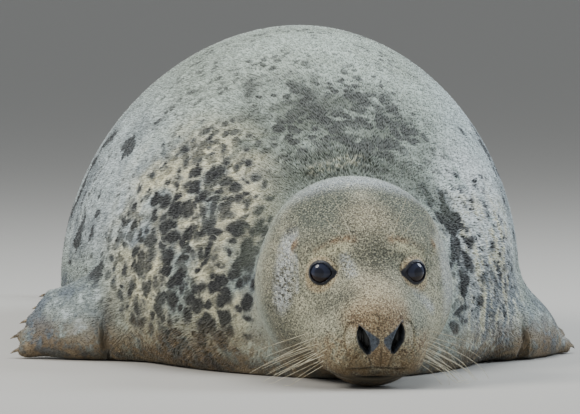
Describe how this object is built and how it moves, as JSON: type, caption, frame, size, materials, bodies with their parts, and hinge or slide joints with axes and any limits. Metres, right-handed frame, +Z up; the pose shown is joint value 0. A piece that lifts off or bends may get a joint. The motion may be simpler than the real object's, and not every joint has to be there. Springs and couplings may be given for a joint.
{
  "type": "grey seal",
  "caption": "Still life-size grey seal cow lying on her belly with her chin on the ground, neck drawn in, fore flippers at her sides and hind flippers trailing behind.",
  "frame": {"origin": "centre of the seal's bounding box, on the floor it lies on", "axes": "+X to the seal's left, +Y from nose to tail, +Z up"},
  "size_m": [0.711, 1.9076, 0.4077],
  "materials": {
    "coat": "short dense fur, mottled pale and dark",
    "eye": "wet and very glossy",
    "claw": "dark horn"
  },
  "bodies": {
    "root": {"head": "coat", "lower_jaw": "coat", "neck": "coat", "shoulders": "coat", "trunk": "coat", "hindquarters": "coat", "tail": "coat", "fore_flipper_right": "coat", "fore_flipper_left": "coat", "hind_flipper_right": "coat", "hind_flipper_left": "coat", "eye_right": "eye", "eye_left": "eye", "fore_claw_right_1": "claw", "fore_claw_right_2": "claw", "fore_claw_right_3": "claw", "fore_claw_right_4": "claw", "fore_claw_right_5": "claw", "fore_claw_left_1": "claw", "fore_claw_left_2": "claw", "fore_claw_left_3": "claw", "fore_claw_left_4": "claw", "fore_claw_left_5": "claw", "hind_claw_right_1": "claw", "hind_claw_right_2": "claw", "hind_claw_right_3": "claw", "hind_claw_right_4": "claw", "hind_claw_right_5": "claw", "hind_claw_left_1": "claw", "hind_claw_left_2": "claw", "hind_claw_left_3": "claw", "hind_claw_left_4": "claw", "hind_claw_left_5": "claw"}
  },
  "joints": []
}
